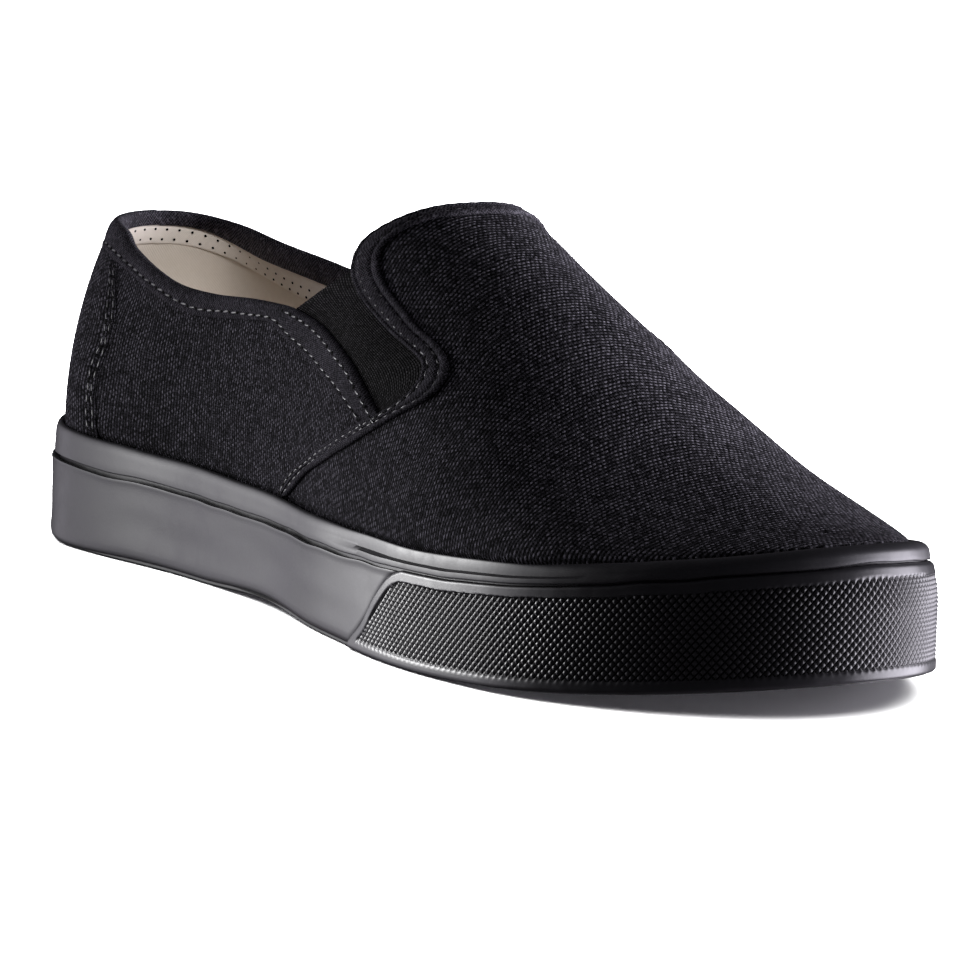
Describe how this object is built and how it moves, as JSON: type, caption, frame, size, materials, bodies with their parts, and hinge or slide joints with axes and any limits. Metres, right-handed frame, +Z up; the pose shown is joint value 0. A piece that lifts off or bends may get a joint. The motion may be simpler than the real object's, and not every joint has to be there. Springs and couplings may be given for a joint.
{
  "type": "slip-on sneaker",
  "caption": "Canvas slip-on sneaker for the right foot with elastic side gores, a thick rubber sole and a knurled rubber toe bumper.",
  "frame": {"origin": "bottom centre of the shoe's box, on the floor plane", "axes": "+X along the sole from the heel to the toe, +Y towards the inner side of the foot, +Z up"},
  "size_m": [0.2848, 0.1036, 0.0936],
  "materials": {
    "tread_rubber": "matt",
    "sole_rubber": "satin",
    "canvas": "woven, matt",
    "trim_fabric": "woven, matt",
    "elastic": "ribbed, matt",
    "lining": "woven, matt"
  },
  "bodies": {
    "root": {"outsole": "tread_rubber", "midsole": "sole_rubber", "foxing_band": "sole_rubber", "toe_bumper": "sole_rubber", "upper": "canvas", "vamp_trim": "trim_fabric", "collar_trim": "trim_fabric", "heel_counter": "canvas", "gore_outer": "elastic", "gore_inner": "elastic", "insole": "lining"}
  },
  "joints": []
}
